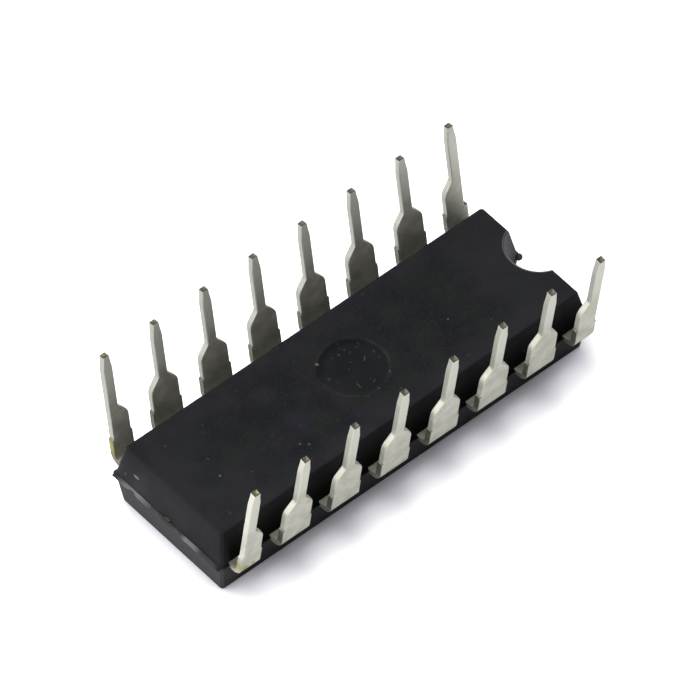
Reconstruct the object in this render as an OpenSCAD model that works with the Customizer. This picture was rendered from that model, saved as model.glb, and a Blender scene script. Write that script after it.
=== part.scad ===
// Sixteen-lead dual in-line chip package, lying on its marked face with the leads standing up.
// Millimetres. The origin is the centre of the marked face, +X runs to the notched end
// and +Z runs out of the underside, along the leads.

/* [Moulded body] */
// Distance from lead to lead along a row
pitch = 2.54; // [2.4:0.01:2.7]
// Body length beyond the outermost lead centre at each end
end_margin = 0.685; // [0.6:0.01:0.95]
// Body width at the parting line
body_width = 6.42; // [6.1:0.01:7.1]
// Body thickness, marked face to underside
body_height = 3.32; // [2.95:0.01:3.9]
// Height of the parting line above the marked face
parting_height = 1.66; // [1.5:0.01:1.85]
// Draft of the walls above the parting line, degrees from upright
draft = 10.8; // [5:0.1:12]
// Draft of the walls below the parting line, degrees from upright
marked_draft = 7.5; // [5:0.1:12]
// Radius where a wall turns into the marked face or the underside
edge_radius = 0.09; // [0.04:0.01:0.16]
// How far the plane across each upright corner cuts it back
corner_cut = 0.07; // [0.03:0.01:0.15]

/* [Notch, ejector mark and flash] */
// Width of the end notch across the underside
notch_width = 2.58; // [1.8:0.02:3]
// Depth of the end notch along the underside
notch_depth = 0.9; // [0.6:0.02:1.1]
// Width of the broken edge round the notch mouth
notch_break = 0.09; // [0.04:0.01:0.15]
// Diameter of the ejector mark in the underside
ejector_diameter = 2.94; // [1.5:0.02:3.4]
// Depth of the ejector mark
ejector_depth = 0.03; // [0.02:0.01:0.15]
// Width of the flash left on the parting line at the two ends
flash_width = 0.16; // [0.08:0.01:0.2]
// Width of the flash left between the leads along the two sides
side_flash = 0.06; // [0.02:0.01:0.1]
// Thickness of the flash
flash_thickness = 0.06; // [0.03:0.01:0.1]

/* [Leads] */
// Thickness of the lead frame sheet
sheet = 0.27; // [0.2:0.01:0.36]
// Width of the blade that goes through the board
blade_width = 0.46; // [0.38:0.01:0.56]
// Width of the shoulder that rests on the board
shoulder_width = 1.36; // [1.2:0.02:1.78]
// Width of the cut tip
tip_width = 0.28; // [0.16:0.01:0.36]
// Length of the blade, tip to shoulder
blade_length = 2.82; // [2.6:0.02:3.4]
// Height of the sloped part of the shoulder
shoulder_slope = 0.54; // [0.4:0.02:0.8]
// Height of the straight part of the shoulder
shoulder_side = 1.12; // [0.6:0.02:1.3]
// Height of the sheared dam bar stub above the bend
stub_height = 0.77; // [0.6:0.01:1.2]
// How far a sheared stub stands out beyond the shoulder
stub_proud = 0.05; // [0.02:0.01:0.08]
// How far the one badly sheared stub, on lead 16, stands out
long_stub = 0.15; // [0.08:0.01:0.2]
// Length of the tapered tip
tip_length = 0.7; // [0.4:0.05:1]
// Inner radius of the bend
bend_radius = 0.22; // [0.15:0.01:0.35]
// Flat run from the wall to the bend
flat_run = 0.22; // [0.15:0.01:0.4]
// Outward lean of the blades, degrees
splay = 8.1; // [3:0.1:12]

/* [Inside the body] */
// Length of the pad that carries the die
paddle_length = 5.2; // [4.4:0.1:5.6]
// Width of the pad that carries the die
paddle_width = 3.2; // [2.6:0.1:3.4]
// Offset of the pad towards the underside
downset = 0.2; // [0.1:0.02:0.3]
// Length of the silicon die
die_length = 2.6; // [2:0.1:3.2]
// Width of the silicon die
die_width = 2; // [1.6:0.1:2.2]
// Thickness of the silicon die
die_thickness = 0.3; // [0.2:0.01:0.35]
// Thickness of the adhesive under the die
adhesive = 0.03; // [0.02:0.01:0.05]
// Width of a lead finger where its wire is bonded
finger_width = 0.34; // [0.28:0.02:0.4]
// Diameter of the bond wire
wire_diameter = 0.03; // [0.025:0.005:0.04]

/* [Hidden] */
$fn = 72;
pins = 16;
reach = 40;
body_length = (pins / 2 - 1) * pitch + 2 * end_margin;
half_length = body_length / 2;
half_width = body_width / 2;
marked_inset = parting_height * tan(marked_draft);
under_inset = (body_height - parting_height) * tan(draft);
notch_radius = (notch_width * notch_width / 4 + notch_depth * notch_depth) / (2 * notch_depth);
notch_x = half_length - under_inset - notch_depth + notch_radius;
notch_waist = notch_radius - under_inset;
bend_y = half_width + flat_run;
bend_z = parting_height + sheet / 2 + bend_radius;
blade_top = stub_height + shoulder_side + shoulder_slope + blade_length;
paddle_low = parting_height + downset - sheet / 2;
die_face = paddle_low - adhesive - die_thickness;
ejector_rim = 0.07;
shoulder_round = 0.6;
neck_round = 0.15;
tip_round = 0.03;
root_depth = 0.55;
lock_hole = 0.18;
lock_offset = 0.3;
finger_gap = 0.25;
fan_in = 0.25;
corner_shift = 0.13;
turn_y = [1.44, 1.13];
end_rows = [1.2, 0.55];
tie_width = 0.25;
tie_run = 0.7;
tie_step = 0.4;
tie_proud = 0.02;
pad_inset = 0.12;
pad_spread = [0.18, 0.38];
attach_spread = 0.08;
wire_sweep = 50;
bond_radius = 0.05;
bond_height = 0.03;
flash_gaps = [[-0.54, 0.46], [0.64, 0.46], [2.05, 0.35]];
mouth_gap = [[0, 1.8]];
flash_thin = 0.75;
flash_ripple = 0.07;
flash_step = 0.1;
flash_lump = 0.13;
mouth_lump = 0.17;

// Leads 1 to 8 run from the notched end along the -Y row, leads 9 to 16 back along the +Y row.
function lead_x(n) = (n <= pins / 2 ? pins / 4 + 0.5 - n : n - 3 * pins / 4 - 0.5) * pitch;
function row_sign(n) = n <= pins / 2 ? -1 : 1;
function end_sign(n) = lead_x(n) < 0 ? -1 : 1;
function rank(n) = round(abs(lead_x(n)) / pitch - 0.5);
function is_corner(n) = rank(n) == pins / 4 - 1;

// Width of a lead to its outer side, the side away from the middle of the row.
function outer_shoulder(n) = (is_corner(n) ? blade_width : shoulder_width) / 2;
function outer_stub(n) = outer_shoulder(n) + (n == pins ? long_stub : stub_proud);
function inner_stub() = shoulder_width / 2 + stub_proud;

function unit(v) = v / norm(v);
function turned(v, a) = [v.x * cos(a) - v.y * sin(a), v.x * sin(a) + v.y * cos(a)];
// Points of the arc of radius r that replaces corner p between its neighbours a and b.
function corner_arc(a, p, b, r, steps = 4) =
    r == 0 ? [p] :
    let (
        u = unit(a - p),
        v = unit(b - p),
        half = acos(u * v) / 2,
        centre = p + unit(u + v) * r / sin(half),
        start = p + u * r / tan(half) - centre,
        sweep = -sign(cross(u, v)) * (180 - 2 * half)
    )
    [for (k = [0:steps]) centre + turned(start, sweep * k / steps)];
// Closed outline whose corner i is rounded to radii[i].
function rounded(points, radii) = let (n = len(points)) [
    for (i = [0:n - 1])
        each corner_arc(points[(i + n - 1) % n], points[i], points[(i + 1) % n], radii[i])
];

// Cross-section of the drafted body, given its half width at the parting line.
function section(half, slant = 1) =
    let (
        low = half - slant * marked_inset,
        high = half - slant * under_inset,
        e = edge_radius
    )
    rounded(
        [[-low, 0], [low, 0], [half, parting_height],
         [high, body_height], [-high, body_height], [-half, parting_height]],
        [e, e, 0, e, e, 0]
    );

module slab(half, heading, slant = 1) {
    rotate([0, 0, heading])
        rotate([90, 0, 0])
            linear_extrude(reach, center = true)
                polygon(section(half, slant));
}

module drafted_block() {
    intersection() {
        slab(half_length, 0);
        slab(half_width, 90);
        slab((half_length + half_width) / sqrt(2) - corner_cut, 45, sqrt(2));
        slab((half_length + half_width) / sqrt(2) - corner_cut, -45, sqrt(2));
    }
}

// Share of the flash broken away at y: a smooth bump round each gap, given as centre and half width.
function broken_share(y, gaps) =
    max([for (g = gaps) abs(y - g[0]) < g[1] ? flash_thin * (1 + cos(180 * (y - g[0]) / g[1])) / 2 : 0]);
// Width of the flash on an end wall at y: a slow ripple, less what broke away.
function flash_reach(y, gaps, phase) =
    flash_width * (1 - flash_ripple * (1 + sin(250 * y + phase))) * (1 - broken_share(y, gaps));
// Plan outline of the flash on the +X end wall, closed at the middle of the body.
function flash_edge(gaps, phase) =
    let (far = half_width - corner_cut / 2, n = ceil(2 * far / flash_step)) [
        [0, far],
        [0, -far],
        for (k = [0:n]) let (y = -far + 2 * far * k / n) [half_length + flash_reach(y, gaps, phase), y],
    ];

// Thin plate squeezed out along the parting line, broken away in places, with one lump left
// on a corner of the plain end and a smaller one at the notch.
module flash() {
    mouth = sqrt(pow(notch_waist, 2) - pow(half_length - notch_x, 2));
    translate([0, 0, parting_height - flash_thickness / 2])
        linear_extrude(flash_thickness) {
            difference() {
                union() {
                    square([body_length - 2 * corner_cut, body_width + 2 * side_flash], center = true);
                    polygon(flash_edge(mouth_gap, 0));
                    mirror([1, 0])
                        polygon(flash_edge(flash_gaps, 90));
                    translate([-half_length + flash_lump / 2, half_width - flash_lump / 2])
                        circle(flash_lump);
                }
                translate([notch_x, 0])
                    circle(notch_waist - flash_width / 3);
            }
            translate([half_length, mouth])
                circle(mouth_lump);
        }
}

// Round mouth through the end, narrowest at the parting line, with a broken edge at both faces.
module notch() {
    marked_radius = notch_waist + marked_inset;
    translate([notch_x, 0, parting_height])
        cylinder(h = reach, r1 = notch_waist, r2 = notch_waist + reach * tan(draft));
    translate([notch_x, 0, parting_height - reach])
        cylinder(h = reach, r1 = notch_waist + reach * tan(marked_draft), r2 = notch_waist);
    translate([notch_x, 0, body_height - notch_break])
        cylinder(h = 2 * notch_break, r1 = notch_radius, r2 = notch_radius + 2 * notch_break);
    translate([notch_x, 0, -notch_break])
        cylinder(h = 2 * notch_break, r1 = marked_radius + 2 * notch_break, r2 = marked_radius);
}

// Shallow round mark with a sloping rim.
module ejector_mark() {
    translate([0.1, 0.1, body_height - ejector_depth])
        cylinder(
            h = 2 * ejector_depth,
            d1 = ejector_diameter - 2 * ejector_rim,
            d2 = ejector_diameter + 2 * ejector_rim
        );
}

module moulded_body() {
    color([0.15, 0.15, 0.16])
        difference() {
            union() {
                difference() {
                    drafted_block();
                    notch();
                }
                flash();
            }
            ejector_mark();
            die_paddle();
            die_attach();
            die();
            for (n = [1:pins]) {
                lead_plate(n);
                bond_wire(n);
            }
        }
}

// Plan of the finger inside the body, from the wall to the bonding tip, for the +X +Y quarter.
// The inner two ranks end along the pad's side, the outer two turn in and end along its end.
function finger_path(rank) =
    let (
        side_y = paddle_width / 2 + finger_gap + finger_width / 2,
        end_x = paddle_length / 2 + finger_gap + finger_width / 2,
        root_x = (rank + 0.5) * pitch,
        root_y = half_width - root_depth
    )
    rank == 0 ? [[root_x, root_y], [root_x - fan_in, side_y]] :
    rank == 1 ? [[root_x, root_y], [paddle_length / 2 - finger_width, side_y]] :
    rank == 2 ? [[root_x, root_y], [root_x - fan_in, turn_y[0]], [end_x, end_rows[0]]] :
    [[root_x - corner_shift, root_y], [root_x - 3 * fan_in, turn_y[1]],
     [root_x - 6 * fan_in, end_rows[1]], [end_x, end_rows[1]]];

// Plan strip of the given width along a path, with round joints.
module strip(path, width) {
    for (p = path)
        translate(p)
            circle(d = width);
    for (i = [1:len(path) - 1])
        let (
            a = path[i - 1],
            b = path[i],
            side = turned(unit(b - a), 90) * width / 2
        )
        polygon([a - side, b - side, b + side, a + side]);
}

// Flat part of a lead: bonding finger, locked root and the run out to the bend.
module lead_plate(n) {
    x = abs(lead_x(n));
    mirror([end_sign(n) < 0 ? 1 : 0, 0, 0])
        mirror([0, row_sign(n) < 0 ? 1 : 0, 0])
            translate([0, 0, parting_height - sheet / 2])
                linear_extrude(sheet)
                    difference() {
                        union() {
                            strip(finger_path(rank(n)), finger_width);
                            translate([x - inner_stub(), half_width - root_depth])
                                square([inner_stub() + outer_stub(n), root_depth + flat_run]);
                        }
                        translate([x - lock_offset, half_width - root_depth / 2])
                            circle(d = lock_hole);
                    }
}

// Outline of the blade above the bend: x away from the middle of the row, y towards the tip.
function blade_outline(n) =
    let (
        inner = shoulder_width / 2,
        outer = outer_shoulder(n),
        side = stub_height + shoulder_side,
        top = side + shoulder_slope,
        blade = blade_width / 2,
        tip = tip_width / 2,
        round_off = is_corner(n) ? 0 : shoulder_round,
        neck = is_corner(n) ? 0 : neck_round
    )
    rounded(
        [[-inner_stub(), 0], [outer_stub(n), 0], [outer_stub(n), stub_height], [outer, stub_height],
         [outer, side], [blade, top], [blade, blade_top - tip_length], [tip, blade_top],
         [-tip, blade_top], [-blade, blade_top - tip_length], [-blade, top], [-inner, side],
         [-inner, stub_height], [-inner_stub(), stub_height]],
        [0, 0, 0, 0, round_off, neck, 0, tip_round, tip_round, 0, neck_round, shoulder_round, 0, 0]
    );

module lead(n) {
    x = abs(lead_x(n));
    color([0.78, 0.78, 0.74]) {
        lead_plate(n);
        mirror([end_sign(n) < 0 ? 1 : 0, 0, 0])
            mirror([0, row_sign(n) < 0 ? 1 : 0, 0])
                translate([x, bend_y, bend_z]) {
                    rotate([0, 90, 0])
                        rotate_extrude(angle = 90 - splay)
                            translate([bend_radius, -inner_stub()])
                                square([sheet, inner_stub() + outer_stub(n)]);
                    rotate([-splay, 0, 0])
                        translate([0, bend_radius + sheet, 0])
                            rotate([90, 0, 0])
                                linear_extrude(sheet)
                                    polygon(blade_outline(n));
                }
    }
}

// Pad under the die, with a tie bar to each end that steps down to the lead plane.
module die_paddle() {
    low = parting_height - sheet / 2;
    knee = paddle_length / 2 + tie_run;
    far = half_length + tie_proud;
    color([0.72, 0.5, 0.3]) {
        translate([-paddle_length / 2, -paddle_width / 2, paddle_low])
            cube([paddle_length, paddle_width, sheet]);
        intersection() {
            for (s = [0, 1])
                mirror([s, 0, 0])
                    translate([0, tie_width / 2, 0])
                        rotate([90, 0, 0])
                            linear_extrude(tie_width)
                                polygon([
                                    [knee, low], [far, low], [far, low + sheet], [knee, low + sheet],
                                    [knee - tie_step, paddle_low + sheet], [0, paddle_low + sheet],
                                    [0, paddle_low], [knee - tie_step, paddle_low],
                                ]);
            difference() {
                translate([-far, -tie_width, 0])
                    cube([2 * far, 2 * tie_width, body_height]);
                translate([notch_x, 0, 0])
                    cylinder(h = body_height, r = notch_waist);
            }
        }
    }
}

module die_attach() {
    length = die_length + 2 * attach_spread;
    width = die_width + 2 * attach_spread;
    color([0.6, 0.6, 0.58])
        translate([-length / 2, -width / 2, paddle_low - adhesive])
            cube([length, width, adhesive]);
}

module die() {
    color([0.32, 0.33, 0.38])
        translate([-die_length / 2, -die_width / 2, die_face])
            cube([die_length, die_width, die_thickness]);
}

// Bond pad on the die for a lead of the given rank, in the +X +Y quarter.
function pad_point(rank) =
    rank < 2 ? [pad_spread[rank] * die_length, die_width / 2 - pad_inset] :
    [die_length / 2 - pad_inset, pad_spread[3 - rank] * die_width - pad_inset / 2];

// Gold wire looped from its pad on the die to the tip of its lead finger.
module bond_wire(n) {
    path = finger_path(rank(n));
    pad = pad_point(rank(n));
    tip = path[len(path) - 1];
    start = [pad.x, pad.y, die_face - bond_height / 2];
    end = [tip.x, tip.y, parting_height - sheet / 2 - bond_height / 2];
    chord = end - start;
    span = norm(chord);
    loop_radius = span / 2 / sin(wire_sweep);
    color([0.85, 0.66, 0.25])
        mirror([end_sign(n) < 0 ? 1 : 0, 0, 0])
            mirror([0, row_sign(n) < 0 ? 1 : 0, 0]) {
                translate(start)
                    rotate([0, -asin(chord.z / span), atan2(chord.y, chord.x)])
                        translate([span / 2, 0, loop_radius * cos(wire_sweep)])
                            rotate([90, 0, 0])
                                rotate([0, 0, 270 - wire_sweep])
                                    rotate_extrude(angle = 2 * wire_sweep)
                                        translate([loop_radius, 0])
                                            circle(d = wire_diameter);
                for (p = [start, end])
                    translate([p.x, p.y, p.z - bond_height / 2])
                        cylinder(h = bond_height, r = bond_radius);
            }
}

moulded_body();
die_paddle();
die_attach();
die();
lead(1);  // lead_01
lead(2);  // lead_02
lead(3);  // lead_03
lead(4);  // lead_04
lead(5);  // lead_05
lead(6);  // lead_06
lead(7);  // lead_07
lead(8);  // lead_08
lead(9);  // lead_09
lead(10);  // lead_10
lead(11);  // lead_11
lead(12);  // lead_12
lead(13);  // lead_13
lead(14);  // lead_14
lead(15);  // lead_15
lead(16);  // lead_16
bond_wire(1);  // bond_wire_01
bond_wire(2);  // bond_wire_02
bond_wire(3);  // bond_wire_03
bond_wire(4);  // bond_wire_04
bond_wire(5);  // bond_wire_05
bond_wire(6);  // bond_wire_06
bond_wire(7);  // bond_wire_07
bond_wire(8);  // bond_wire_08
bond_wire(9);  // bond_wire_09
bond_wire(10);  // bond_wire_10
bond_wire(11);  // bond_wire_11
bond_wire(12);  // bond_wire_12
bond_wire(13);  // bond_wire_13
bond_wire(14);  // bond_wire_14
bond_wire(15);  // bond_wire_15
bond_wire(16);  // bond_wire_16
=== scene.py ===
"""A sixteen-lead chip lying on its marked face with its leads in the air, on a white table.

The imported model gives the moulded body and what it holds. The leads are remade here as swept
strips with rolled edges, sheared stubs and cut tips, and every surface gets its finish."""
import math
from types import SimpleNamespace

import bpy
import numpy as np
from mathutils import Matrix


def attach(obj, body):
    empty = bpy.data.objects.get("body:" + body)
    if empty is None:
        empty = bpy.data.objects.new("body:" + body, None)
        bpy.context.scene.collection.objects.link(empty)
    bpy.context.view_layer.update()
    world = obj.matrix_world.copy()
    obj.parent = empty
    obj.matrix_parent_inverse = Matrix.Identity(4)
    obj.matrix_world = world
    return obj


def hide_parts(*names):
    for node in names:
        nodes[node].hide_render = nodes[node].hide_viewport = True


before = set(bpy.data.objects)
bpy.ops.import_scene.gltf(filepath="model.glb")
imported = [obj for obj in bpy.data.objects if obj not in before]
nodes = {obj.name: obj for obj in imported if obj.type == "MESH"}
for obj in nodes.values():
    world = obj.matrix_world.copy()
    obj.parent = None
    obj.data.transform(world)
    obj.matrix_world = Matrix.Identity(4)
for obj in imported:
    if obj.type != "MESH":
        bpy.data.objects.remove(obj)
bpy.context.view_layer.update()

MM = 0.001
SEED = 16


def mm(*lengths):
    """Lengths given in millimetres, in metres."""
    return tuple(length * MM for length in lengths)


# The camera, as fitted to the sixteen tips and shoulders of the photographed chip
FRAME_PX = 700
FOCAL_PX = 12913
CAMERA_AZIMUTH = -40.94
CAMERA_ELEVATION = 50.99
CAMERA_DISTANCE = 507.1 * MM
CAMERA_TARGET = np.array([0.715, 1.009, 3.0]) * MM
SENSOR = 36.0

# The room, the lamps and the table
DOME_AZIMUTH = 125
DOME_ELEVATION = 60
DOME_LOW = 0.1
DOME_HIGH = 0.35
DOME_POWER = 5.0
DOME_TINT_LOW = (0.99, 0.97, 1.0, 1)
DOME_TINT_HIGH = (1, 0.995, 0.98, 1)
LAMPS = {
    "key": {"azimuth": 110, "elevation": 66, "distance": 0.3, "size": 0.26, "watts": 0.85},
    "side": {"azimuth": 177, "elevation": 24, "distance": 0.3, "size": 0.25, "watts": 0.43},
}
TABLE_REACH = 1.5
TABLE_PAINT = (0.86, 0.86, 0.865, 1)
CONTACT_REACH = 2.2 * MM
CONTACT_OPENNESS = (0.38, 0.96)
CONTACT_GLOW = (0.04, 0.75)
CONTACT_TINT = (0.86, 0.83, 1.0)
# Past these distances along the chip the table's glow is raised, a painted lightening of the shadow
TABLE_ENDS = mm(6.5, 9.7)
END_PAINTED_LIGHT = 0.15
GLOW_IN_REFLECTION = 0.25

# The body
BODY_WIDTH = 6.42 * MM
PARTING_HEIGHT = 1.66 * MM
MARK_CENTRE = mm(0.1, 0.1, 3.32)
MARK_RADIUS = 1.47 * MM
MARK_FLOOR = 3.3 * MM
NOTCH_AXIS = mm(9.73, 0.0, 0.0)
NOTCH_RADIUS = 1.45 * MM
NOTCH_LUMP = mm(9.62, 1.03, 1.66)

# Parts of the body, each as the distances where it begins and where it is fully reached
BORDER_ALONG = mm(5.2, 9.2)
BORDER_OVER = mm(1.5, 3.0)
LOWER_HALF = (PARTING_HEIGHT, PARTING_HEIGHT - 0.1 * MM)
UPPER_HALF = (PARTING_HEIGHT - 0.05 * MM, PARTING_HEIGHT + 0.05 * MM)
PLAIN_END = mm(-9.2, -9.32)
CLEAR_OF_PLAIN_END = mm(-9.2, -9.0)
END_SHEEN_DOWN = mm(3.35, 2.5)
END_SHEEN_OVER = mm(-4.5, 2.8)
LONG_WALLS = mm(2.88, 2.97)
WALL_PAINTED_SHADE_DOWN = (3.35 * MM, PARTING_HEIGHT + 0.3 * MM)
MARK_FAR_SIDE = mm(0.3, 1.2)
FLASH_THICKNESS = mm(0.045, 0.03)
FLASH_WIDTH = mm(3.08, 2.85)
NOTCH_EDGE = mm(3.19, 3.27)

# Colours of the compound, and of the light and shade painted on it
COMPOUND_DARK = (0.0055, 0.0062, 0.0097)
COMPOUND_GREENISH = (0.0102, 0.0130, 0.0108)
COMPOUND_BLUISH = (0.0135, 0.0130, 0.0190)
COMPOUND_POWDER = (0.024, 0.024, 0.028)
BORDER_POWDER = (0.0185, 0.0185, 0.0210)
# Pale dust with a painted reflection of the table on the plain end's wall, and painted bounce light from the
# table on the lower half
END_DUST_AND_SHEEN = (0.034, 0.034, 0.038)
LOWER_PAINTED_BOUNCE = (0.054, 0.054, 0.057)
# Painted shade on the long walls above the parting line
WALL_PAINTED_SHADE = (0.0006, 0.0010, 0.0006)
MARK_DARK = (0.0040, 0.0052, 0.0068)
# Painted shadow inside the ejector mark's far rim, and a painted highlight along its rim
MARK_PAINTED_SHADOW = (0.0006, 0.0009, 0.0012)
MARK_RIM_HIGHLIGHT = (0.022, 0.022, 0.023)
# Painted light on the plain end's flash, where its ledge catches the light, brighter in stretches
FLASH_PAINTED_LIGHT = (0.055, 0.056, 0.058)
FLASH_PAINTED_HIGHLIGHT = (0.235, 0.238, 0.242)
# Painted reflection on the notch's wall and a painted highlight along its edge
NOTCH_PAINTED_REFLECTION = (0.150, 0.137, 0.146)
NOTCH_RIM_HIGHLIGHT = (0.13, 0.12, 0.14)
LUMP_DARK = (0.060, 0.050, 0.050)
DUST_PALE = (0.075, 0.079, 0.083)
SCRATCH_PALE = (0.062, 0.066, 0.069)
SCRATCH_CREAM = (0.30, 0.29, 0.25)
TARNISH = (0.14, 0.125, 0.055)

# Near corners of the lower half where the painted bounce light from the table is full
PAINTED_BOUNCE_CORNERS = [mm(-9.3, -2.9, 0.5), mm(9.4, -3.0, 0.9)]

# Stretches of the plain end's flash with a brighter painted highlight: centre and radius
FLASH_HIGHLIGHT_STRETCHES = [
    (mm(-9.65, 1.85, 1.69), 1.15 * MM),
    (mm(-9.65, -1.45, 1.69), 0.65 * MM),
]

# Fine scratches: direction in radians, length and width of a cell, share of cells that hold one
SCRATCH_LAYERS = (
    (1.50, 0.95 * MM, 0.25 * MM, 0.05),
    (1.78, 0.60 * MM, 0.26 * MM, 0.07),
    (2.60, 0.34 * MM, 0.30 * MM, 0.10),
)
SCRATCHES_OFF_MARK = 0.06

# Plain scratches in the ejector mark: x, y, direction in radians, half length, strength, with
# the lengths in millimetres
MARK_SCRATCHES = [
    (0.07, 0.93, -1.59, 0.120, 0.5),
    (0.40, 0.98, -1.53, 0.090, 0.42),
    (0.47, 0.74, -2.46, 0.074, 0.4),
    (0.38, 1.40, -1.48, 0.060, 0.25),
    (0.71, 0.13, -2.39, 0.165, 0.65),
    (1.23, 0.17, -1.74, 0.104, 0.55),
    (1.20, -0.18, -1.69, 0.064, 0.4),
    (-0.10, 0.12, -1.24, 0.065, 0.3),
    (-1.03, 0.26, -1.71, 0.141, 0.42),
    (-0.35, -0.74, -1.64, 0.234, 0.5),
    (0.20, -0.80, -1.35, 0.050, 0.4),
    (0.30, -0.95, -1.85, 0.072, 0.55),
    (-0.90, -0.10, -1.50, 0.055, 0.25),
    (1.03, -1.01, -1.78, 0.075, 1.0),
    (0.15, -1.36, -1.55, 0.075, 1.0),
    (-0.45, -1.41, -0.18, 0.090, 0.35),
]

# Plain scratches on the plain end's wall: centre, direction in radians, half length, strength
END_SCRATCHES = [
    (mm(-9.44, 2.02, 2.38), -1.57, 0.190 * MM, 0.75),
    (mm(-9.49, 2.62, 2.09), -1.57, 0.090 * MM, 0.2),
]
SCRATCH_WIDTH = 0.045 * MM
SCRATCH_HEIGHT = 0.07 * MM

# Specks that show singly: centre, radius, colour
DUST_SPOTS = [
    (mm(-7.41, -0.63, 3.32), 0.062 * MM, (0.115, 0.12, 0.135)),
    (mm(-0.90, 1.12, 3.32), 0.105 * MM, (0.15, 0.11, 0.085)),
    (mm(4.48, -0.53, 3.32), 0.05 * MM, (0.10, 0.10, 0.12)),
    (mm(-4.02, -1.47, 3.32), 0.065 * MM, (0.07, 0.075, 0.08)),
    (mm(-3.76, -1.72, 3.32), 0.060 * MM, (0.08, 0.085, 0.09)),
]

# Finish of each part inside the body, under its node's name without a number: name of the
# material, dull and bright colour, metallic share, roughness from low to high, patch scale
TARNISHED_ENDS = mm(9.4, 9.55)
INNER_FINISHES = {
    "die_paddle": ("copper_alloy", (0.40, 0.27, 0.14), (0.50, 0.36, 0.19), 0.9, (0.4, 0.55), 1500.0),
    "die_attach": ("die_adhesive", (0.44, 0.44, 0.42), (0.56, 0.55, 0.53), 0.0, (0.4, 0.5), 3000.0),
    "die": ("silicon", (0.20, 0.21, 0.25), (0.26, 0.27, 0.32), 0.6, (0.12, 0.2), 2500.0),
    "bond_wire": ("gold_wire", (0.76, 0.55, 0.18), (0.86, 0.66, 0.26), 1.0, (0.2, 0.3), 9000.0),
}

# The leads
ROW = 8
LEADS = range(1, 2 * ROW + 1)
PITCH = 2.54 * MM
SHEET = 0.27 * MM
BLADE_WIDTH = 0.46 * MM
SHOULDER_WIDTH = 1.36 * MM
TIP_WIDTH = 0.28 * MM
TIP_LENGTH = 0.7 * MM
BLADE_LENGTH = 2.82 * MM
SHOULDER_SLOPE = 0.54 * MM
SHOULDER_SIDE = 1.12 * MM
STUB_HEIGHT = 0.77 * MM
STUB_PROUD = 0.05 * MM
LONG_STUB = 0.15 * MM
BEND_RADIUS = 0.22 * MM
FLAT_RUN = 0.22 * MM
SPLAY = math.radians(8.1)
BEND_ARC = (math.pi / 2 - SPLAY) * (BEND_RADIUS + SHEET / 2)
STEP_TOP = STUB_HEIGHT + 0.03 * MM
SHOULDER_TOP = STUB_HEIGHT + SHOULDER_SIDE
NECK = SHOULDER_TOP + SHOULDER_SLOPE
BLADE_TOP = NECK + BLADE_LENGTH
SHOULDER_ROUND = 0.6 * MM
NECK_ROUND = 0.15 * MM
SLOPE_ANGLE = math.atan2((SHOULDER_WIDTH - BLADE_WIDTH) / 2, SHOULDER_SLOPE)
ROOT_DEPTH = 0.55 * MM
ROLLED_EDGE = 0.04 * MM
SHEARED_EDGE = 0.012 * MM
SHEAR_ROUGHNESS = 0.005 * MM
DISH_DEPTH = 0.025 * MM
DISH_RINGS = np.array([0.12, 0.35, 1.0])
# Depth of the painted shade on the inner face of the bend and the flat run
BEND_SHADE_SHARE = 0.83
ROOT_SHARE = 0.8
TINNED_OVER = 0.3

# The fingers inside the body
PADDLE_LENGTH = 5.2 * MM
PADDLE_WIDTH = 3.2 * MM
FINGER_WIDTH = 0.34 * MM
FINGER_GAP = 0.25 * MM
FAN_IN = 0.25 * MM
CORNER_SHIFT = 0.13 * MM
TURN_Y = mm(1.44, 1.13)
END_ROWS = mm(1.2, 0.55)

# Colours of the leads, with painted shade
TIN_DULL = (0.63, 0.62, 0.53)
TIN_BRIGHT = (0.79, 0.78, 0.695)
TIN_STAIN = (0.48, 0.46, 0.40)
TIN_BLADE = (0.80, 0.80, 0.715)
# Painted shade on the far row's faces that look towards the plain end
TIN_SIDE_PAINTED_SHADE = (0.52, 0.52, 0.47)
# Bare sheared metal, also used for the painted shade on the inner face of the bend
BARE_AND_SHADE_GREEN = (0.130, 0.140, 0.098)
BARE_AND_SHADE_GREY = (0.22, 0.22, 0.185)
CUT_OLIVE = (0.110, 0.112, 0.072)
CUT_BROWN = (0.160, 0.138, 0.102)
BRASSY = (0.42, 0.39, 0.10)
BLADES_RISE = mm(4.3, 5.6)
FAR_ROW = mm(0.0, 1.0)
FACING_PLAIN_END = (-0.6, -0.9)

# Where the tin is off and brass shows: centre, radius, strength
BRASSY_SPOTS = [
    (mm(-8.93, 4.58, 7.18), 0.12 * MM, 0.7),
    (mm(-8.82, -4.48, 7.15), 0.14 * MM, 0.45),
    (mm(-9.25, 3.87, 2.36), 0.50 * MM, 1.0),
    (mm(-9.17, -3.80, 2.1), 0.30 * MM, 1.0),
    (mm(-8.95, -3.95, 1.9), 0.24 * MM, 1.0),
    (mm(-8.55, -3.98, 1.95), 0.16 * MM, 0.9),
]


# Meshes

def new_piece(name, vertices, faces, material):
    """Put a mesh of the object into the scene and attach it to the root body."""
    mesh = bpy.data.meshes.new(name)
    mesh.from_pydata(vertices, [], faces)
    mesh.shade_smooth()
    mesh.set_sharp_from_angle(angle=math.radians(40))
    mesh.materials.append(material)
    piece = bpy.data.objects.new(name, mesh)
    bpy.context.scene.collection.objects.link(piece)
    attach(piece, "root")
    return piece


def ring_faces(rings, points):
    """Quads between neighbouring rings of a closed tube, with one flat face over each end."""
    r, p = np.meshgrid(np.arange(rings - 1), np.arange(points), indexing="ij")
    q = (p + 1) % points
    low, high = r * points, (r + 1) * points
    quads = np.stack([low + p, low + q, high + q, high + p], -1)
    ends = [list(range(points))[::-1], list(range((rings - 1) * points, rings * points))]
    return quads.reshape(-1, 4).tolist() + ends


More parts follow.
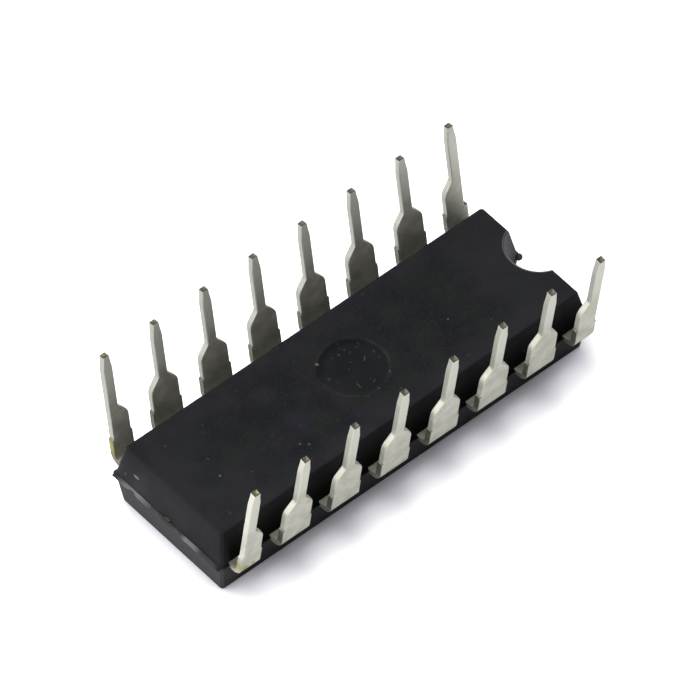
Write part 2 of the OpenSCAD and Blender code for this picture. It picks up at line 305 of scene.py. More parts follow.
def rounded_section(inner, outer, half_thickness, radius, along_face=9, along_edge=4, along_arc=4):
    """Closed outline of a flat bar's section, one row for each station of the bar.

    The outline is a rectangle from -inner to +outer and from -half_thickness to
    +half_thickness whose corners are quarter circles of the given radius: each corner's centre
    plus the radius times (cos t, sin t), with straight sides divided evenly between them."""
    inner, outer, half_thickness, radius = (
        np.asarray(value)[:, None] for value in (inner, outer, half_thickness, radius))
    right, left = outer - radius, -inner + radius
    top, bottom = half_thickness - radius, -half_thickness + radius
    corners = [(right, top, 0.0), (left, top, 0.5), (left, bottom, 1.0), (right, bottom, 1.5)]
    counts = [along_face, along_edge, along_face, along_edge]
    turn = np.linspace(0, 0.5, along_arc + 1)[None, :]
    across, through = [], []
    for k, (x, y, start) in enumerate(corners):
        angle = (start + turn) * math.pi
        arc_x, arc_y = x + radius * np.cos(angle), y + radius * np.sin(angle)
        across.append(arc_x)
        through.append(arc_y)
        next_x, next_y, next_start = corners[(k + 1) % 4]
        end_x = next_x + radius * math.cos(next_start * math.pi)
        end_y = next_y + radius * math.sin(next_start * math.pi)
        share = np.arange(1, counts[k])[None, :] / counts[k]
        across.append(arc_x[:, -1:] * (1 - share) + end_x * share)
        through.append(arc_y[:, -1:] * (1 - share) + end_y * share)
    return np.concatenate(across, 1), np.concatenate(through, 1)


# Leads

def lead_place(number):
    """Distance along the row, side of the body, and which way the row's nearer end lies."""
    x = (ROW / 2 + 0.5 - number if number <= ROW else number - 1.5 * ROW - 0.5) * PITCH
    return x, (-1 if number <= ROW else 1), (-1 if x < 0 else 1)


def lead_stations():
    """Distances along a lead's centre line, from its root to its tip, that its section is set at.

    They are divided evenly over stretches that are shorter where the outline turns. Zero is the
    end of the bend."""
    stretches = [
        (-BEND_ARC - FLAT_RUN - ROOT_DEPTH, 3),
        (-BEND_ARC - FLAT_RUN, 4),
        (-BEND_ARC, 8),
        (0, 9),
        (STUB_HEIGHT - 0.03 * MM, 1),
        (STUB_HEIGHT, 1),
        (STEP_TOP, 1),
        (STEP_TOP + 0.05 * MM, 6),
        (SHOULDER_TOP - 0.2 * MM, 8),
        (SHOULDER_TOP + 0.16 * MM, 5),
        (NECK - 0.05 * MM, 4),
        (NECK + 0.06 * MM, 14),
        (BLADE_TOP - TIP_LENGTH, 8),
        (BLADE_TOP - SHEARED_EDGE, 3),
    ]
    starts, counts = zip(*stretches)
    ends = (*starts[1:], BLADE_TOP)
    spans = [np.linspace(a, b, n, endpoint=False) for a, b, n in zip(starts, ends, counts)]
    return np.append(np.concatenate(spans), BLADE_TOP)


def lead_edges(stations, stub, corner):
    """Distance of a lead's edge from its centre line at each station from the bend to the tip.

    The edge is a stub, a shoulder and a blade joined by straight lines, with circular arcs where
    the shoulder turns into its slope and the slope into the blade; a corner lead's far edge has
    no shoulder."""
    blade = BLADE_WIDTH / 2
    shoulder = blade if corner else SHOULDER_WIDTH / 2
    marks = [(-1, shoulder + stub), (STUB_HEIGHT, shoulder + stub), (STEP_TOP, shoulder)]
    if not corner:
        out = np.linspace(0, SLOPE_ANGLE, 6)
        back = out[::-1]
        out_centre = SHOULDER_TOP - SHOULDER_ROUND * math.tan(SLOPE_ANGLE / 2)
        back_centre = NECK + NECK_ROUND * math.tan(SLOPE_ANGLE / 2)
        marks += zip(out_centre + SHOULDER_ROUND * np.sin(out), shoulder - SHOULDER_ROUND * (1 - np.cos(out)))
        marks += zip(back_centre - NECK_ROUND * np.sin(back), blade + NECK_ROUND * (1 - np.cos(back)))
    marks += [(BLADE_TOP - TIP_LENGTH, blade), (BLADE_TOP, TIP_WIDTH / 2)]
    at, edge = np.array(marks).T
    return np.interp(stations, at, edge)


def lead_path(stations):
    """Centre line of a lead in the plane across the body, and the direction out of its outer face.

    Out along the wall's normal, then round a circle about the bend's centre through a right
    angle less the splay, then straight: stations below zero lie on the bend and the flat run."""
    sweep = math.pi / 2 - SPLAY
    mean_radius = BEND_RADIUS + SHEET / 2
    angle = np.clip((stations + BEND_ARC) / mean_radius, 0, sweep)
    past = np.maximum(stations, 0)
    before = np.minimum(stations + BEND_ARC, 0)
    bend_start = BODY_WIDTH / 2 + FLAT_RUN
    outward = bend_start + mean_radius * np.sin(angle) + past * math.cos(sweep) + before
    upward = PARTING_HEIGHT + mean_radius * (1 - np.cos(angle)) + past * math.sin(sweep)
    return outward, upward, np.sin(angle), -np.cos(angle)


def lead_sections(number):
    """Stations of one lead, the outline of its section at each, and which points are on its sides.

    Over the last of the blade the section draws in by a quarter circle, and three more rings go
    back down inside the cut edge to the bottom of the tip's dish."""
    stations = lead_stations()
    corner = number in (1, ROW, ROW + 1, 2 * ROW)
    inner = lead_edges(stations, STUB_PROUD, False)
    outer = lead_edges(stations, LONG_STUB if number == 2 * ROW else STUB_PROUD, corner)
    past_edge = np.maximum(stations - BLADE_TOP + SHEARED_EDGE, 0)
    inset = SHEARED_EDGE - np.sqrt(np.maximum(SHEARED_EDGE ** 2 - past_edge ** 2, 0))
    radius = np.where(stations < STEP_TOP, SHEARED_EDGE * 1.5, ROLLED_EDGE)
    radius = np.where(stations > BLADE_TOP - 0.1 * MM, SHEARED_EDGE * 2, radius)

    stations = np.append(stations, BLADE_TOP - DISH_DEPTH * DISH_RINGS)
    inner, outer = (
        np.append(edge, edge[-1] - (edge[-1] - SHEET / 4) * DISH_RINGS) for edge in (inner, outer))
    half_sheet = SHEET / 2 - np.append(inset, SHEARED_EDGE + SHEET / 4 * DISH_RINGS)
    inset, radius = (np.append(value, DISH_RINGS * 0 + SHEARED_EDGE) for value in (inset, radius))
    across, through = rounded_section(inner - inset, outer - inset, half_sheet, radius)
    at_side = (across > (outer - radius)[:, None]) | (across < (radius - inner)[:, None])
    return stations, across, through, at_side


def finger_route(rank):
    """Plan of the finger inside the body for a lead's rank from the middle, in the +X +Y quarter.

    The inner two ranks end beside the long side of the die's pad, the outer two turn in and
    end beside its short side."""
    side_y = PADDLE_WIDTH / 2 + FINGER_GAP + FINGER_WIDTH / 2
    end_x = PADDLE_LENGTH / 2 + FINGER_GAP + FINGER_WIDTH / 2
    x, y = (rank + 0.5) * PITCH, BODY_WIDTH / 2 - ROOT_DEPTH
    if rank == 0:
        return [(x, y), (x - FAN_IN, side_y)]
    if rank == 1:
        return [(x, y), (PADDLE_LENGTH / 2 - FINGER_WIDTH, side_y)]
    if rank == 2:
        return [(x, y), (x - FAN_IN, TURN_Y[0]), (end_x, END_ROWS[0])]
    turns = [(x - 3 * FAN_IN, TURN_Y[1]), (x - 6 * FAN_IN, END_ROWS[1])]
    return [(x - CORNER_SHIFT, y), *turns, (end_x, END_ROWS[1])]


def finger_rings(rank):
    """Rings of the flat bar along a finger's route, mitred where it turns."""
    route = np.array(finger_route(rank))
    legs = np.diff(route, axis=0)
    legs /= np.linalg.norm(legs, axis=1, keepdims=True)
    way = np.vstack([legs[:1], legs[:-1] + legs[1:], legs[-1:]])
    way /= np.linalg.norm(way, axis=1, keepdims=True)
    mitre = 1 / np.sum(way * np.vstack([legs, legs[-1:]]), axis=1)
    half = np.full(len(route), FINGER_WIDTH / 2)
    across, through = rounded_section(half, half, half * 0 + SHEET / 2, half * 0 + SHEARED_EDGE)
    across = across * mitre[:, None]
    x = route[:, :1] - way[:, 1:] * across
    y = route[:, 1:] + way[:, :1] * across
    return np.stack([x, y, PARTING_HEIGHT + through], -1)


def make_lead(number, material):
    """Remake one lead as a bar section carried from inside the wall to the cut tip, and its finger.

    Two attributes go with it for the finish: how bare each point is where the dam bar was
    sheared, with painted shade on the inner face of the bend and the flat run, and whether it
    lies on the cut tip."""
    random = np.random.default_rng(SEED + number)
    x, side, outer_way = lead_place(number)
    stations, across, through, at_side = lead_sections(number)
    on_stub = (stations > -BEND_ARC - FLAT_RUN - 0.05 * MM) & (stations <= STEP_TOP + 1e-9)
    sheared = at_side & on_stub[:, None]
    across = across + np.where(sheared, random.normal(0, SHEAR_ROUGHNESS, across.shape), 0)
    # Painted shade on the inner face of the bend and the flat run, deepest at the root
    bend_shade = np.clip(-stations / BEND_ARC, 0, 1)[:, None] * (through < 0) * BEND_SHADE_SHARE
    sheared = sheared * np.where(stations < 0, ROOT_SHARE, 1.0)[:, None]
    sheared = np.maximum(sheared * (TINNED_OVER if number == ROW else 1.0), bend_shade)
    cut = np.zeros(across.shape)
    cut[-len(DISH_RINGS) - 2:] = 1.0

    outward, upward, face_out, face_up = (value[:, None] for value in lead_path(stations))
    strip = np.stack([abs(x) + across, outward + face_out * through, upward + face_up * through], -1)
    finger = finger_rings(round(abs(x) / PITCH - 0.5))
    mirrored = side * outer_way < 0
    shells, faces, count = [], [], 0
    for rings in (strip, finger):
        shells.append((rings * (outer_way, side, 1)).reshape(-1, 3))
        for face in ring_faces(*rings.shape[:2]):
            face = [count + vertex for vertex in face]
            faces.append(face[::-1] if mirrored else face)
        count += rings.shape[0] * rings.shape[1]
    vertices = np.concatenate(shells)
    lead = new_piece(f"lead_{number:02d}_formed", vertices.tolist(), faces, material)
    for name, share in (("sheared", sheared), ("cut_tip", cut)):
        values = np.zeros(len(vertices), np.float32)
        values[:share.size] = share.reshape(-1)
        lead.data.attributes.new(name, "FLOAT", "POINT").data.foreach_set("value", values)
    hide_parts(f"lead_{number:02d}")


# Nodes

class Nodes:
    """A node tree under construction: each call adds one node, links or sets its inputs, and returns it."""

    def __init__(self, tree):
        self.tree = tree

    def __call__(self, kind, inputs=None, **settings):
        node = self.tree.nodes.new(kind)
        for name, value in settings.items():
            setattr(node, name, value)
        for key, value in (inputs or {}).items():
            socket = node.inputs[key]
            if isinstance(value, bpy.types.NodeSocket):
                self.tree.links.new(value, socket)
            else:
                socket.default_value = value
        return node

    def link(self, source, target):
        self.tree.links.new(source, target)


def new_material(name):
    """An empty material, its node builder and its output node."""
    material = bpy.data.materials.new(name)
    material.use_nodes = True
    material.node_tree.nodes.clear()
    add = Nodes(material.node_tree)
    return material, add, add("ShaderNodeOutputMaterial")


def new_group(name, inputs, outputs):
    """An empty shader node group with float or vector sockets, its builder and its two ends."""
    group = bpy.data.node_groups.new(name, "ShaderNodeTree")
    for socket_name, kind, value in inputs:
        socket = group.interface.new_socket(socket_name, in_out="INPUT", socket_type=kind)
        if value is not None:
            socket.default_value = value
    for socket_name, kind in outputs:
        group.interface.new_socket(socket_name, in_out="OUTPUT", socket_type=kind)
    add = Nodes(group)
    return group, add, add("NodeGroupInput").outputs, add("NodeGroupOutput")


def calc(add, operation, *values, clamp=False):
    """One step of arithmetic on numbers or sockets."""
    return add("ShaderNodeMath", dict(enumerate(values)), operation=operation, use_clamp=clamp).outputs[0]


def spread(add, share, low, high):
    """A share from 0 to 1, spread over low to high."""
    return add("ShaderNodeMapRange", {"Value": share, "To Min": low, "To Max": high}).outputs[0]


def between(add, value, start, end):
    """Smooth step from 0 at start to 1 at end."""
    return add("ShaderNodeMapRange", {"Value": value, "From Min": start, "From Max": end},
               interpolation_type="SMOOTHSTEP").outputs[0]


def nearness(add, place, centre, inner, outer, flat=False):
    """1 within a distance of a point, falling to 0 at a larger one; flat measures along the table only."""
    away = add("ShaderNodeVectorMath", {0: place, 1: centre}, operation="SUBTRACT").outputs["Vector"]
    if flat:
        away = add("ShaderNodeVectorMath", {0: away, 1: (1.0, 1.0, 0.0)},
                   operation="MULTIPLY").outputs["Vector"]
    distance = add("ShaderNodeVectorMath", {0: away}, operation="LENGTH").outputs["Value"]
    return between(add, distance, outer, inner)


def scratch(add, place, centre, angle, half_length):
    """1 along a short level scratch, falling to 0 at its ends and sides."""
    size = (half_length, SCRATCH_WIDTH, SCRATCH_HEIGHT)
    along = add("ShaderNodeMapping", {"Vector": place, "Location": centre, "Rotation": (0.0, 0.0, angle),
                                      "Scale": size}, vector_type="TEXTURE")
    distance = add("ShaderNodeVectorMath", {0: along.outputs[0]}, operation="LENGTH").outputs["Value"]
    return between(add, distance, 1.1, 0.4)


def blend(add, factor, first, second):
    """Colour between two colours by a factor."""
    mix = add("ShaderNodeMix", {"Factor": factor}, data_type="RGBA")
    for key, value in (("A", first), ("B", second)):
        socket = next(s for s in mix.inputs if s.name == key and s.type == "RGBA")
        if isinstance(value, bpy.types.NodeSocket):
            add.link(value, socket)
        else:
            socket.default_value = (*value, 1.0)
    return next(s for s in mix.outputs if s.type == "RGBA")


def mottle_group():
    """Broad soft patches and a fine grain, each from noise in the object's own metres."""
    group, add, given, result = new_group(
        "mottle",
        [("Vector", "NodeSocketVector", None), ("Patch Scale", "NodeSocketFloat", 500.0),
         ("Grain Scale", "NodeSocketFloat", 15000.0)],
        [("Patch", "NodeSocketFloat"), ("Grain", "NodeSocketFloat")])
    broad = add("ShaderNodeTexNoise", {"Vector": given["Vector"], "Scale": given["Patch Scale"],
                                       "Detail": 3.0, "Roughness": 0.55}).outputs["Fac"]
    fine = add("ShaderNodeTexNoise", {"Vector": given["Vector"], "Scale": given["Grain Scale"],
                                      "Detail": 2.0, "Roughness": 0.7}).outputs["Fac"]
    add.link(between(add, broad, 0.32, 0.68), result.inputs["Patch"])
    add.link(fine, result.inputs["Grain"])
    return group


def speck_group():
    """Small round specks: one in some cells of a Voronoi pattern, of uneven size."""
    group, add, given, result = new_group(
        "specks",
        [("Vector", "NodeSocketVector", None), ("Scale", "NodeSocketFloat", 1500.0),
         ("Size", "NodeSocketFloat", 0.1), ("Share", "NodeSocketFloat", 0.05)],
        [("Mask", "NodeSocketFloat")])
    cells = add("ShaderNodeTexVoronoi", {"Vector": given["Vector"], "Scale": given["Scale"]}).outputs
    lot, size, _ = add("ShaderNodeSeparateColor", {"Color": cells["Color"]}).outputs
    chosen = calc(add, "LESS_THAN", lot, given["Share"])
    width = calc(add, "MULTIPLY", size, given["Size"])
    spot = add("ShaderNodeMapRange", {"Value": cells["Distance"], "From Min": 0.0, "From Max": width,
                                      "To Min": 1.0, "To Max": 0.0}).outputs[0]
    add.link(calc(add, "MULTIPLY", chosen, spot), result.inputs["Mask"])
    return group


def scratch_group():
    """Short fine scratches that lie one way: stretched Voronoi patterns, denser in the ejector mark."""
    group, add, given, result = new_group(
        "scratches",
        [("Vector", "NodeSocketVector", None), ("In Mark", "NodeSocketFloat", 0.0)],
        [("Mask", "NodeSocketFloat")])
    mask = None
    for angle, length, width, share in SCRATCH_LAYERS:
        turned = add("ShaderNodeMapping", {"Vector": given["Vector"], "Rotation": (0.0, 0.0, angle),
                                           "Scale": (length, width, width)}, vector_type="TEXTURE").outputs[0]
        cells = add("ShaderNodeTexVoronoi", {"Vector": turned, "Scale": 1.0}, voronoi_dimensions="2D").outputs
        lot, depth, _ = add("ShaderNodeSeparateColor", {"Color": cells["Color"]}).outputs
        chosen = calc(add, "LESS_THAN", lot, spread(add, given["In Mark"], share * SCRATCHES_OFF_MARK, share))
        line = add("ShaderNodeMapRange", {"Value": cells["Distance"], "From Min": 0.0, "From Max": 0.14,
                                          "To Min": spread(add, depth, 0.3, 1.0), "To Max": 0.0}).outputs[0]
        layer = calc(add, "MULTIPLY", chosen, line)
        mask = layer if mask is None else calc(add, "MAXIMUM", mask, layer)
    add.link(mask, result.inputs["Mask"])
    return group


# Finish of the body

def body_ground(add, groups):
    """What the compound's layers are placed by: the place on the body, patches, grain and hue."""
    place = add("ShaderNodeTexCoord").outputs["Object"]
    along, over, height = add("ShaderNodeSeparateXYZ", {0: place}).outputs
    mottle = add("ShaderNodeGroup", {"Vector": place, "Patch Scale": 620.0, "Grain Scale": 17000.0},
                 node_tree=groups["mottle"]).outputs
    return SimpleNamespace(
        place=place, along=along, over=over, height=height,
        from_middle=calc(add, "ABSOLUTE", along),
        from_centre_line=calc(add, "ABSOLUTE", over),
        patch=mottle["Patch"],
        grain=mottle["Grain"],
        hue=add("ShaderNodeTexNoise", {"Vector": place, "Scale": 480.0, "Detail": 1.0}).outputs["Fac"],
        lower=between(add, height, *LOWER_HALF),
        plain_end=between(add, along, *PLAIN_END),
        in_mark=nearness(add, place, MARK_CENTRE, MARK_RADIUS - 0.2 * MM, MARK_RADIUS),
        in_notch=nearness(add, place, NOTCH_AXIS, NOTCH_RADIUS, NOTCH_RADIUS + 0.03 * MM, flat=True))


def charcoal(add, at):
    """Dark compound with greenish and bluish patches, under powder that thickens to the border."""
    tint = blend(add, between(add, at.hue, 0.42, 0.58), COMPOUND_GREENISH, COMPOUND_BLUISH)
    colour = blend(add, at.patch, COMPOUND_DARK, tint)
    colour = blend(add, between(add, at.grain, 0.48, 0.80), colour, COMPOUND_POWDER)
    border = calc(add, "ADD", between(add, at.from_middle, *BORDER_ALONG),
                  between(add, at.from_centre_line, *BORDER_OVER), clamp=True)
    border = calc(add, "MULTIPLY", border, spread(add, at.patch, 0.5, 0.85))
    return blend(add, border, colour, BORDER_POWDER)


def add_dust_sheen_and_bounce(add, at, colour):
    """Pale dust and a painted reflection of the table, wiped in patches, on the plain end's wall, and painted
    bounce light from the table on the lower half there and at two near corners.
    """
    upper = calc(add, "MULTIPLY", spread(add, at.patch, 0.62, 1.05),
                 spread(add, between(add, at.height, *END_SHEEN_DOWN), 0.05, 1.0))
    sideways = spread(add, between(add, at.over, *END_SHEEN_OVER), 0.15, 1.1)
    upper = calc(add, "MULTIPLY", upper, sideways, clamp=True)
    upper = calc(add, "MULTIPLY", upper, spread(add, between(add, at.hue, 0.40, 0.56), 0.35, 1.0))
    on_end = calc(add, "MULTIPLY", at.plain_end, calc(add, "MAXIMUM", upper, at.lower))
    colour = blend(add, on_end, colour, blend(add, at.lower, END_DUST_AND_SHEEN, LOWER_PAINTED_BOUNCE))
    near_corner = 0.0
    for corner in PAINTED_BOUNCE_CORNERS:
        near_corner = calc(add, "MAXIMUM", nearness(add, at.place, corner, 0.4 * MM, 1.3 * MM), near_corner)
    low = calc(add, "MULTIPLY", spread(add, near_corner, 0.35, 1.0), at.lower)
    return blend(add, low, colour, LOWER_PAINTED_BOUNCE)


def painted_wall_shade(add, at):
    """Share of the painted shade, a matt dark band on the long walls above the parting line, deepest at its
    foot.
    """
    long_wall = calc(add, "MULTIPLY", between(add, at.from_centre_line, *LONG_WALLS),
                     between(add, at.along, *CLEAR_OF_PLAIN_END))
    painted_shade = calc(add, "MULTIPLY", long_wall, between(add, at.height, *WALL_PAINTED_SHADE_DOWN))
    return calc(add, "MULTIPLY", painted_shade, between(add, at.height, *UPPER_HALF))


def mark_ring(add, at, inner, outer):
    """Soft ring about the ejector mark's centre, given the radii over which each side fades."""
    disc, hole = (nearness(add, at.place, MARK_CENTRE, MARK_RADIUS + near, MARK_RADIUS + far)
                  for near, far in (outer, inner))
    return calc(add, "SUBTRACT", disc, hole, clamp=True)


def add_ejector_mark(add, at, colour):
    """Darker, smoother floor of the ejector mark, a painted shadow inside its far rim, and a painted
    highlight along the rim.
    """
    polish = calc(add, "MULTIPLY", at.in_mark, spread(add, at.patch, 1.0, 0.55))
    colour = blend(add, polish, colour, MARK_DARK)
    # Painted shadow inside the far rim
    shadow = calc(add, "MULTIPLY", mark_ring(add, at, mm(-0.42, -0.14), mm(-0.12, 0.0)),
                  between(add, at.over, *MARK_FAR_SIDE))
    colour = blend(add, shadow, colour, MARK_PAINTED_SHADOW)
    # Painted highlight along the rim
    rim = calc(add, "MULTIPLY", mark_ring(add, at, mm(-0.09, -0.05), mm(0.03, 0.07)),
               between(add, at.patch, 0.2, 1.2))
    return blend(add, rim, colour, MARK_RIM_HIGHLIGHT)


def add_flash_highlight(add, at, colour):
    """Painted light on the flash along the plain end's parting line, where its ledge catches the light,
    brighter in places.
    """
    off_parting = calc(add, "ABSOLUTE", calc(add, "ADD", at.height, -PARTING_HEIGHT))
    flash = calc(add, "MULTIPLY", between(add, off_parting, *FLASH_THICKNESS), at.plain_end)
    flash = calc(add, "MULTIPLY", flash, between(add, at.from_centre_line, *FLASH_WIDTH))
    # Painted light on the flash, with a brighter painted highlight in the listed stretches
    flash_highlight = FLASH_PAINTED_LIGHT
    for centre, radius in FLASH_HIGHLIGHT_STRETCHES:
        pale = calc(add, "MULTIPLY", nearness(add, at.place, centre, radius * 0.3, radius),
                    spread(add, at.patch, 0.5, 1.0))
        flash_highlight = blend(add, pale, flash_highlight, FLASH_PAINTED_HIGHLIGHT)
    return blend(add, flash, colour, flash_highlight)


def add_notch(add, at, colour):
    """Painted reflection that lightens the notch's wall, the dark lump in its mouth, and a painted highlight
    along its edge.
    """
    # Painted reflection on the notch's wall
    colour = blend(add, at.in_notch, colour, NOTCH_PAINTED_REFLECTION)
    colour = blend(add, nearness(add, at.place, NOTCH_LUMP, 0.18 * MM, 0.32 * MM), colour, LUMP_DARK)
    # Painted highlight along the notch's edge
    edge = calc(add, "MULTIPLY", at.in_notch, between(add, at.height, *NOTCH_EDGE))
    return blend(add, edge, colour, NOTCH_RIM_HIGHLIGHT)


def add_wear(add, at, groups, colour):
    """Dust and fine scratches all over, then the scratches and specks that show singly."""
    specks = add("ShaderNodeGroup", {"Vector": at.place, "Scale": 2600.0, "Size": 0.2, "Share": 0.24},
                 node_tree=groups["specks"]).outputs["Mask"]
    fine = add("ShaderNodeGroup", {"Vector": at.place, "In Mark": at.in_mark},
               node_tree=groups["scratches"]).outputs["Mask"]
    colour = blend(add, calc(add, "MULTIPLY_ADD", specks, 0.6, fine, clamp=True), colour, DUST_PALE)
    in_mark = [((x * MM, y * MM, MARK_FLOOR), angle, half_length * MM, strength)
               for x, y, angle, half_length, strength in MARK_SCRATCHES]
    for scratches, tone in ((in_mark, SCRATCH_PALE), (END_SCRATCHES, SCRATCH_CREAM)):
        for centre, angle, half_length, strength in scratches:
            line = calc(add, "MULTIPLY", scratch(add, at.place, centre, angle, half_length), strength)
            colour = blend(add, line, colour, tone)
    for centre, radius, tone in DUST_SPOTS:
        colour = blend(add, nearness(add, at.place, centre, radius * 0.4, radius), colour, tone)
    return colour


def mould_compound(groups):
    """Black filled epoxy: patchy charcoal, a fine eroded grain and a smooth ejector mark, with painted shade,
    light, reflections and highlights on the walls, the mark, the flash and the notch.
    """
    material, add, output = new_material("mould_compound")
    at = body_ground(add, groups)
    # Dust, a painted reflection and painted bounce light on the plain end and the lower half
    colour = add_dust_sheen_and_bounce(add, at, charcoal(add, at))
    painted_shade = painted_wall_shade(add, at)
    # Painted shade on the long walls above the parting line
    colour = blend(add, painted_shade, colour, WALL_PAINTED_SHADE)
    colour = add_ejector_mark(add, at, colour)
    colour = add_flash_highlight(add, at, colour)
    colour = add_notch(add, at, colour)
    colour = add_wear(add, at, groups, colour)

    rough = spread(add, at.grain, 0.55, 0.75)
    smooth = calc(add, "MULTIPLY_ADD", at.in_notch, 0.5, at.in_mark)
    for share, level in ((smooth, 0.38), (painted_shade, 0.95)):
        rough = add("ShaderNodeMix", {"Factor": share, "A": rough, "B": level},
                    data_type="FLOAT").outputs["Result"]
    bump = add("ShaderNodeBump", {"Height": at.grain, "Strength": spread(add, at.in_mark, 0.45, 0.12),
                                  "Distance": 0.012 * MM})
    shader = add("ShaderNodeBsdfPrincipled", {"Base Color": colour, "Roughness": rough,
                                              "Specular IOR Level": 0.12, "Normal": bump.outputs["Normal"]})
    add.link(shader.outputs["BSDF"], output.inputs["Surface"])
    return material


# Finish of the leads and of what is inside

def tinned_lead(groups):
    """Matte tin over a copper alloy, frosted and a little stained, and bare where it was cut.

    Painted shade lies on the inner face of each bend and on the far row's sides facing the plain end.
    """
    material, add, output = new_material("tinned_lead")
    coordinates = add("ShaderNodeTexCoord").outputs
    place = coordinates["Object"]
    over, height = add("ShaderNodeSeparateXYZ", {0: place}).outputs[1:]
    sheared = add("ShaderNodeAttribute", attribute_name="sheared").outputs["Fac"]
    cut_tip = add("ShaderNodeAttribute", attribute_name="cut_tip").outputs["Fac"]
    mottle = add("ShaderNodeGroup", {"Vector": place, "Patch Scale": 1500.0, "Grain Scale": 14000.0},
                 node_tree=groups["mottle"]).outputs
    patch, grain = mottle["Patch"], mottle["Grain"]
    stains = add("ShaderNodeGroup", {"Vector": place, "Scale": 5000.0, "Size": 0.5, "Share": 0.12},
                 node_tree=groups["specks"]).outputs["Mask"]
    colour = blend(add, patch, TIN_DULL, TIN_BRIGHT)
    colour = blend(add, stains, colour, TIN_STAIN)
    colour = blend(add, between(add, height, *BLADES_RISE), colour, TIN_BLADE)
    # Painted shade on the far row's faces that look towards the plain end
    facing = add("ShaderNodeSeparateXYZ", {0: coordinates["Normal"]}).outputs[0]
    side = calc(add, "MULTIPLY", between(add, facing, *FACING_PLAIN_END), between(add, over, *FAR_ROW))
    colour = blend(add, side, colour, TIN_SIDE_PAINTED_SHADE)
    # Bare metal where the dam bar was sheared, and painted shade on the bend's inner face, in the same
    # colours
    colour = blend(add, sheared, colour, blend(add, patch, BARE_AND_SHADE_GREEN, BARE_AND_SHADE_GREY))
    colour = blend(add, cut_tip, colour, blend(add, patch, CUT_OLIVE, CUT_BROWN))
    for centre, radius, strength in BRASSY_SPOTS:
        spot = calc(add, "MULTIPLY", nearness(add, place, centre, radius * 0.2, radius * 1.2),
                    spread(add, patch, strength, 0.6 * strength))
        colour = blend(add, spot, colour, BRASSY)
    bump = add("ShaderNodeBump", {"Height": grain, "Strength": 0.35, "Distance": 0.012 * MM})
    shader = add("ShaderNodeBsdfPrincipled", {"Base Color": colour, "Metallic": 0.55,
                                              "Roughness": spread(add, patch, 0.46, 0.56),
                                              "Normal": bump.outputs["Normal"]})
    add.link(shader.outputs["BSDF"], output.inputs["Surface"])
    return material


def inner_material(groups, name, dull, bright, metallic, roughness, patch_scale):
    """Finish of a part inside the body: two close colours in patches, and a fine grain in the gloss.

    Whatever comes out through an end wall is tarnished there."""
    material, add, output = new_material(name)
    place = add("ShaderNodeTexCoord").outputs["Object"]
    mottle = add("ShaderNodeGroup", {"Vector": place, "Patch Scale": patch_scale, "Grain Scale": 20000.0},
                 node_tree=groups["mottle"]).outputs
    from_middle = calc(add, "ABSOLUTE", add("ShaderNodeSeparateXYZ", {0: place}).outputs[0])
    colour = blend(add, mottle["Patch"], dull, bright)
    colour = blend(add, between(add, from_middle, *TARNISHED_ENDS), colour, TARNISH)
    bump = add("ShaderNodeBump", {"Height": mottle["Grain"], "Strength": 0.2, "Distance": 0.004 * MM})
    shader = add("ShaderNodeBsdfPrincipled", {"Base Color": colour, "Metallic": metallic,
                                              "Roughness": spread(add, mottle["Grain"], *roughness),
                                              "Normal": bump.outputs["Normal"]})
    add.link(shader.outputs["BSDF"], output.inputs["Surface"])
    return material


# Studio

def table_white():
    """White paint with a glow that only the camera and reflections see, which fades near the chip.

    The glow follows how open each point is to the air, so the contact shadow stays; past the chip's
    ends it is raised by place, which paints light into the shadow there."""
    material, add, output = new_material("table_white")
    path = add("ShaderNodeLightPath").outputs
    seen = calc(add, "MULTIPLY_ADD", path["Is Glossy Ray"], GLOW_IN_REFLECTION, path["Is Camera Ray"])
    along = add("ShaderNodeSeparateXYZ", {0: add("ShaderNodeTexCoord").outputs["Object"]}).outputs[0]
    past_ends = between(add, calc(add, "ABSOLUTE", along), *TABLE_ENDS)
    openness_lifted_at_ends = add("ShaderNodeAmbientOcclusion", {"Distance": CONTACT_REACH}, samples=8).outputs["AO"]
    # Painted light: the glow is raised past the chip's ends, which lightens the shadow there
    openness_lifted_at_ends = calc(add, "MULTIPLY_ADD", past_ends, END_PAINTED_LIGHT, openness_lifted_at_ends)
    shut, clear = CONTACT_OPENNESS
    strength = spread(add, add("ShaderNodeMapRange", {"Value": openness_lifted_at_ends, "From Min": shut,
                                                      "From Max": clear}).outputs[0], *CONTACT_GLOW)
    tone = blend(add, between(add, openness_lifted_at_ends, 0.5, 1.0), CONTACT_TINT, (1.0, 1.0, 1.0))
    paint = add("ShaderNodeBsdfDiffuse", {"Color": TABLE_PAINT}).outputs[0]
    glow = add("ShaderNodeEmission", {"Color": tone, "Strength": strength}).outputs[0]
    lit = add("ShaderNodeAddShader", {0: paint, 1: glow}).outputs[0]
    both = add("ShaderNodeMixShader", {0: seen, 1: paint, 2: lit})
    add.link(both.outputs[0], output.inputs["Surface"])
    return material


def table_top():
    """Flat table that the chip lies on."""
    mesh = bpy.data.meshes.new("table_top")
    reach = TABLE_REACH
    mesh.from_pydata([(-reach, -reach, 0), (reach, -reach, 0), (reach, reach, 0), (-reach, reach, 0)], [],
                     [(0, 1, 2, 3)])
    mesh.materials.append(table_white())
    table = bpy.data.objects.new("table_top", mesh)
    bpy.context.scene.collection.objects.link(table)


def direction(azimuth, elevation):
    """Unit vector towards an azimuth and an elevation in degrees."""
    turn, lift = math.radians(azimuth), math.radians(elevation)
    return np.array([math.cos(turn) * math.cos(lift), math.sin(turn) * math.cos(lift), math.sin(lift)])


def soft_light(name, azimuth, elevation, distance, size, watts):
    """Square lamp facing the chip from the given direction, in degrees."""
    data = bpy.data.lights.new(name, "AREA")
    data.size = size
    data.energy = watts
    lamp = bpy.data.objects.new(name, data)
    lamp.location = direction(azimuth, elevation) * distance
    lamp.rotation_euler = (math.radians(90 - elevation), 0, math.radians(azimuth + 90))
    bpy.context.scene.collection.objects.link(lamp)


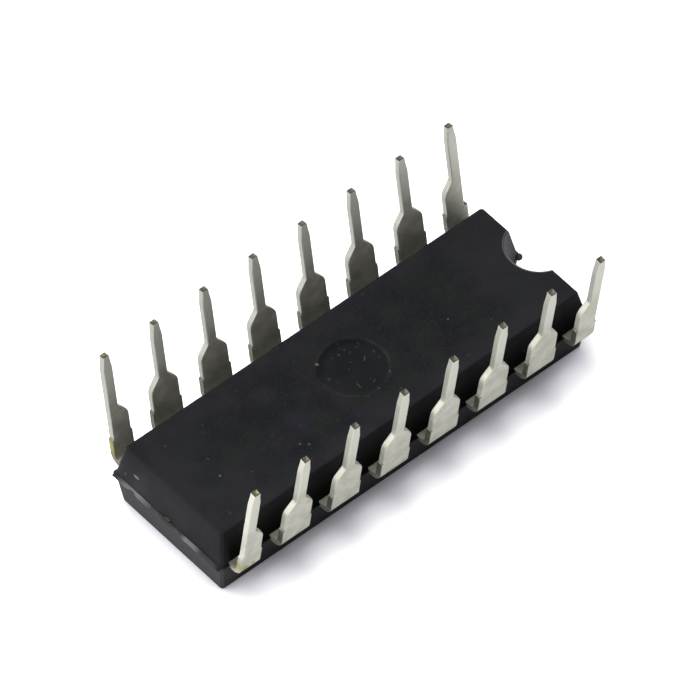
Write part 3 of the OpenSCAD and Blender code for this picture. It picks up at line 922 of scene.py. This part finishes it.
def room_light():
    """Light from all round that grows towards one bright side, white where the camera sees it.

    Brightness goes from DOME_LOW up to DOME_HIGH with the fifth power of (1 + cosine) / 2, where
    the cosine is that of the angle from the bright side."""
    world = bpy.data.worlds.new("room")
    world.use_nodes = True
    world.node_tree.nodes.clear()
    add = Nodes(world.node_tree)
    way = add("ShaderNodeTexCoord").outputs["Generated"]
    bright_side = tuple(direction(DOME_AZIMUTH, DOME_ELEVATION))
    cosine = add("ShaderNodeVectorMath", {0: way, 1: bright_side}, operation="DOT_PRODUCT").outputs["Value"]
    bright = calc(add, "POWER", calc(add, "MULTIPLY_ADD", cosine, 0.5, 0.5), DOME_POWER)
    tone = add("ShaderNodeMix", {"Factor": bright, "A": DOME_TINT_LOW, "B": DOME_TINT_HIGH},
               data_type="RGBA").outputs["Result"]
    room = add("ShaderNodeBackground", {"Color": tone, "Strength": spread(add, bright, DOME_LOW, DOME_HIGH)})
    white = add("ShaderNodeBackground", {"Color": (1, 1, 1, 1), "Strength": 1.0})
    seen = add("ShaderNodeLightPath").outputs["Is Camera Ray"]
    both = add("ShaderNodeMixShader", {0: seen, 1: room.outputs[0], 2: white.outputs[0]})
    output = add("ShaderNodeOutputWorld")
    add.link(both.outputs[0], output.inputs["Surface"])
    bpy.context.scene.world = world


def aim_camera():
    """Camera at the photograph's angle, far off through a long lens."""
    data = bpy.data.cameras.new("camera")
    data.sensor_width = SENSOR
    data.lens = FOCAL_PX / FRAME_PX * SENSOR
    data.clip_start = 0.01
    data.clip_end = 10.0
    camera = bpy.data.objects.new("camera", data)
    camera.location = CAMERA_TARGET + direction(CAMERA_AZIMUTH - 90, CAMERA_ELEVATION) * CAMERA_DISTANCE
    camera.rotation_euler = (math.radians(90 - CAMERA_ELEVATION), 0, math.radians(CAMERA_AZIMUTH))
    bpy.context.scene.collection.objects.link(camera)
    bpy.context.scene.camera = camera


aim_camera()
room_light()
for lamp_name, lamp in LAMPS.items():
    soft_light(lamp_name, **lamp)
table_top()

groups = {"mottle": mottle_group(), "specks": speck_group(), "scratches": scratch_group()}
nodes["moulded_body"].material_slots[0].material = mould_compound(groups)
tin = tinned_lead(groups)
inner = {kind: inner_material(groups, *finish) for kind, finish in INNER_FINISHES.items()}
for name, node in nodes.items():
    kind = name.rstrip("_0123456789")
    if kind in inner:
        node.material_slots[0].material = inner[kind]
for number in LEADS:
    make_lead(number, tin)

bpy.context.scene.view_settings.view_transform = "Standard"
